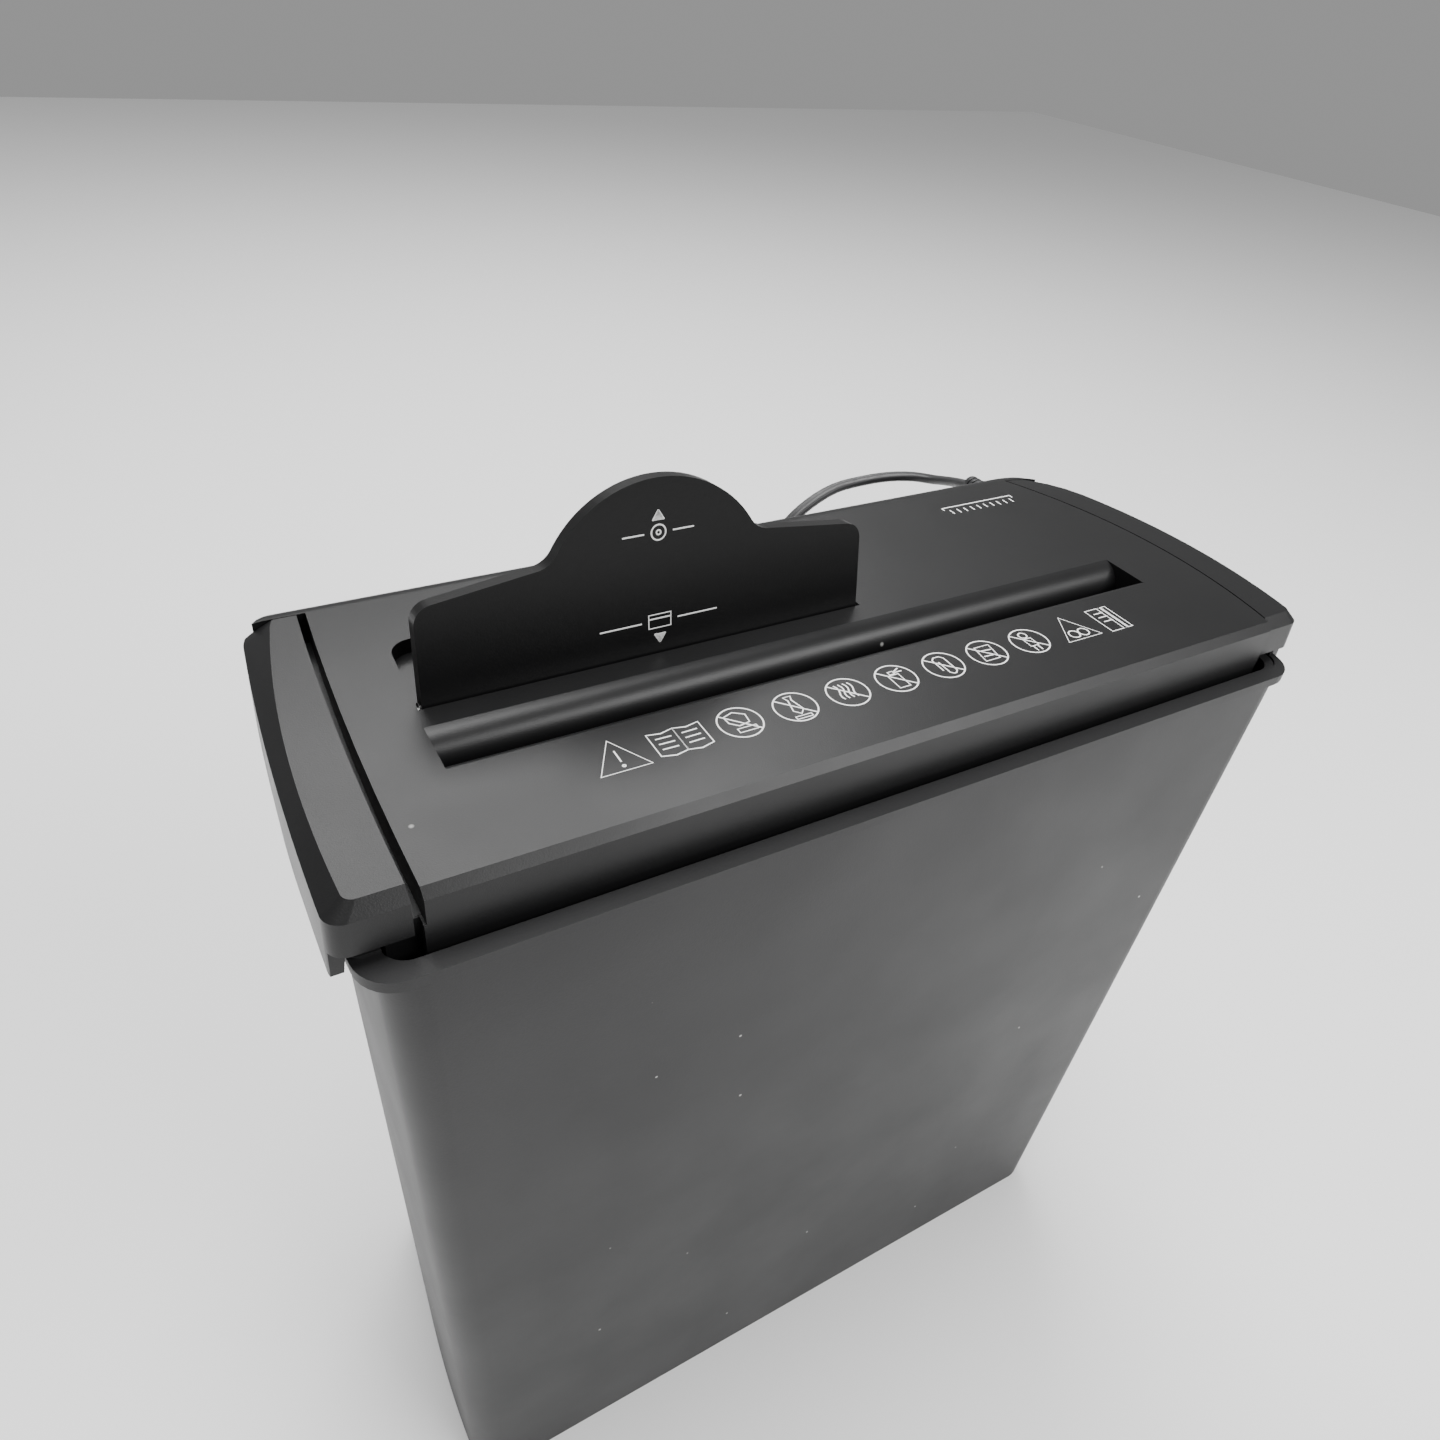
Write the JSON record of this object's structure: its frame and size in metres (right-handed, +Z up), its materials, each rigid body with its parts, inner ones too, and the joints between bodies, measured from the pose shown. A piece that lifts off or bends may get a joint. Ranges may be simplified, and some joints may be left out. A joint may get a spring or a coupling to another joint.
{
  "type": "paper shredder",
  "caption": "Desktop strip-cut paper shredder: flat head with a paper slot and a fold-down disc and card flap, resting on a tapered waste bin.",
  "frame": {"origin": "middle of the bin's footprint, on the floor it stands on", "axes": "+X along the paper slot to the right as seen from the front, +Y to the rear, +Z up"},
  "size_m": [0.3, 0.2299, 0.3584],
  "materials": {
    "bin_plastic": "fine-grained black moulding",
    "head_plastic": "fine-grained black moulding",
    "flap_plastic": "smooth satin black moulding",
    "guide_plastic": "plain dark moulding",
    "gear_plastic": "natural moulded nylon or acetal",
    "board_laminate": "coated circuit board",
    "cord_rubber": "soft black sheath",
    "bright_steel": "drawn steel",
    "zinc_plate": "zinc-plated sheet steel",
    "dark_steel": "sintered steel",
    "dark_screw": "black oxide steel",
    "cutter_steel": "hardened and ground steel",
    "bronze_bush": "sintered bronze",
    "copper_winding": "wound armature",
    "pin_brass": "nickel-plated brass"
  },
  "bodies": {
    "waste_bin": {"bin": "bin_plastic"},
    "head": {"top_cover": "head_plastic", "left_end_cap": "head_plastic", "right_end_cap": "head_plastic", "flap_hinge_rod": "bright_steel", "feed_guide": "guide_plastic", "lower_housing": "head_plastic", "left_side_plate": "zinc_plate", "right_side_plate": "zinc_plate", "tie_rods": "bright_steel", "frame_screws": "zinc_plate", "housing_screws": "dark_screw", "cutter_bushes": "bronze_bush", "front_stripper_comb": "guide_plastic", "rear_stripper_comb": "guide_plastic", "gear_axles": "bright_steel", "retaining_rings": "dark_screw", "motor_can": "zinc_plate", "motor_end_bell": "guide_plastic", "motor_magnets": "dark_steel", "circuit_board": "board_laminate", "board_components": "guide_plastic", "thermal_cutout": "gear_plastic", "paper_switch": "guide_plastic", "interlock_switch": "guide_plastic", "mode_switch": "guide_plastic", "cord_gland": "cord_rubber", "cord_anchor": "guide_plastic", "mains_cord": "cord_rubber", "cord_coil": "cord_rubber", "plug_body": "cord_rubber", "plug_pins": "pin_brass"},
    "flap": {"disc_flap": "flap_plastic"},
    "front_cutter": {"front_cutter_shaft": "bright_steel", "front_cutter_discs": "cutter_steel", "front_spacers": "dark_steel", "front_cutter_gear": "dark_steel"},
    "rear_cutter": {"rear_cutter_shaft": "bright_steel", "rear_cutter_discs": "cutter_steel", "rear_spacers": "dark_steel", "rear_cutter_gear": "dark_steel", "final_drive_gear": "dark_steel"},
    "second_gear_body": {"second_gear": "gear_plastic"},
    "first_gear_body": {"first_gear": "gear_plastic"},
    "motor_armature": {"motor_rotor": "copper_winding", "motor_shaft": "bright_steel", "motor_pinion": "bronze_bush"},
    "paper_lever_body": {"paper_lever": "gear_plastic"},
    "interlock_plunger_body": {"interlock_plunger": "gear_plastic"},
    "mode_knob": {"mode_switch_knob": "flap_plastic"}
  },
  "joints": [
    {"name": "head_lift", "type": "slide", "parent": "waste_bin", "child": "head", "axis": [0, 0, 1], "range_m": [0, 0.12]},
    {"name": "flap_hinge", "type": "hinge", "parent": "head", "child": "flap", "pos_m": [-0.0495, 0.0024, 0.31], "axis": [-1, 0, 0], "range_deg": [0, 82]},
    {"name": "rear_cutter_spin", "type": "hinge", "parent": "head", "child": "rear_cutter", "pos_m": [0, 0.0035, 0.269], "axis": [1, 0, 0], "continuous": true},
    {"name": "front_cutter_spin", "type": "hinge", "parent": "head", "child": "front_cutter", "pos_m": [0, -0.0235, 0.269], "axis": [1, 0, 0], "continuous": true},
    {"name": "second_gear_spin", "type": "hinge", "parent": "head", "child": "second_gear_body", "pos_m": [0, 0.02959, 0.28666], "axis": [1, 0, 0], "continuous": true},
    {"name": "first_gear_spin", "type": "hinge", "parent": "head", "child": "first_gear_body", "pos_m": [0, 0.0375, 0.264], "axis": [1, 0, 0], "continuous": true},
    {"name": "motor_spin", "type": "hinge", "parent": "head", "child": "motor_armature", "pos_m": [0, 0.035, 0.279], "axis": [1, 0, 0], "continuous": true},
    {"name": "paper_lever_hinge", "type": "hinge", "parent": "head", "child": "paper_lever_body", "pos_m": [-0.003, -0.028, 0.292], "axis": [-1, 0, 0], "range_deg": [0, 24], "stiffness_Nm_per_rad": 0.002, "springref_deg": -14.32},
    {"name": "plunger_slide", "type": "slide", "parent": "head", "child": "interlock_plunger_body", "axis": [0, 0, 1], "range_m": [0, 0.0014], "stiffness_N_per_m": 80, "springref_m": -0.002},
    {"name": "mode_switch_slide", "type": "slide", "parent": "head", "child": "mode_knob", "axis": [1, 0, 0], "range_m": [-0.003, 0.003]}
  ],
  "couplings": [
    {"joint": "front_cutter_spin", "follows": "rear_cutter_spin", "ratio": -1},
    {"joint": "second_gear_spin", "follows": "rear_cutter_spin", "ratio": -2.5},
    {"joint": "first_gear_spin", "follows": "rear_cutter_spin", "ratio": 7.5},
    {"joint": "motor_spin", "follows": "rear_cutter_spin", "ratio": -21}
  ]
}
